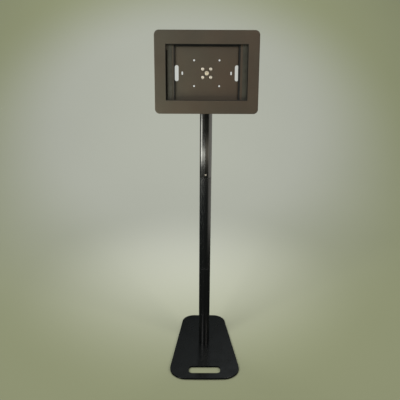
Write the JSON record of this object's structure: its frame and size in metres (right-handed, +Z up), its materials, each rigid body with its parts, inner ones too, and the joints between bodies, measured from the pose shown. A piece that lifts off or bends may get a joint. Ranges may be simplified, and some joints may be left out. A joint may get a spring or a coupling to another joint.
{
  "type": "tablet floor stand",
  "caption": "Floor stand with a tilting and turning sheet-metal tablet enclosure on a round column over a flat trapezium base with a hand-hold slot.",
  "frame": {"origin": "middle of the base plate's outline at floor level", "axes": "+Z up, -Y towards the person in front of the screen, +X to that person's right"},
  "size_m": [0.308, 0.372, 1.1142],
  "materials": {
    "head_powder_coat": "satin bronze-grey powder coat",
    "black_powder_coat": "satin black powder coat",
    "gloss_black_tube": "glossy black paint",
    "zinc_steel": "bright zinc plate",
    "yellow_zinc_steel": "yellow passivated zinc plate",
    "black_steel": "black oxide",
    "lock_chrome": "polished",
    "black_rubber": "matte",
    "eva_foam": "fine-celled foam",
    "nylon": "matte"
  },
  "bodies": {
    "stand": {"base_plate": "black_powder_coat", "rubber_feet": "black_rubber", "foot_plug": "zinc_steel", "foot_bolt": "zinc_steel", "column_lower": "black_powder_coat", "column_middle": "black_powder_coat", "column_upper": "gloss_black_tube", "coupler_lower": "zinc_steel", "coupler_upper": "zinc_steel", "column_screw": "zinc_steel", "neck": "black_powder_coat", "neck_screws": "zinc_steel"},
    "tilt_group": {"tilt_yoke": "black_powder_coat", "tilt_bolt": "zinc_steel", "tilt_nut": "zinc_steel", "tilt_washers": "zinc_steel", "tilt_friction_discs": "nylon", "axle_bolt": "yellow_zinc_steel", "spring_washer": "zinc_steel", "axle_nut": "zinc_steel", "swivel_friction_disc": "nylon", "stop_pin": "zinc_steel"},
    "enclosure": {"swivel_disc": "zinc_steel", "tray_screws": "zinc_steel", "rear_tray": "head_powder_coat", "left_rail": "head_powder_coat", "right_rail": "head_powder_coat", "left_rail_pad": "eva_foam", "right_rail_pad": "eva_foam", "top_ledge": "head_powder_coat", "bottom_ledge": "head_powder_coat", "rail_rivets": "black_steel", "hinge_tray_leaf": "black_steel", "hinge_rivets": "black_steel", "lock_body": "lock_chrome", "lock_nut": "zinc_steel"},
    "bezel": {"front_bezel": "head_powder_coat", "hinge_bezel_leaf": "black_steel", "hinge_pin": "zinc_steel", "bezel_catch": "head_powder_coat", "window_gasket": "eva_foam"},
    "lock_core": {"lock_plug": "lock_chrome", "lock_cam": "zinc_steel", "cam_screw": "zinc_steel"}
  },
  "joints": [
    {"name": "head_tilt", "type": "hinge", "parent": "stand", "child": "tilt_group", "pos_m": [0, 0.0215, 0.9852], "axis": [-1, 0, 0], "range_deg": [-7, 63]},
    {"name": "head_turn", "type": "hinge", "parent": "tilt_group", "child": "enclosure", "pos_m": [0, -0.01274, 0.9894], "axis": [0, -0.9925, 0.1219], "range_deg": [0, 90]},
    {"name": "bezel_open", "type": "hinge", "parent": "enclosure", "child": "bezel", "pos_m": [-0.15, -0.00992, 0.99188], "axis": [0, -0.1219, -0.9925], "range_deg": [0, 105]},
    {"name": "lock_turn", "type": "hinge", "parent": "enclosure", "child": "lock_core", "pos_m": [0.139, -0.01389, 0.99237], "axis": [0, -0.9925, 0.1219], "range_deg": [0, 90]}
  ]
}
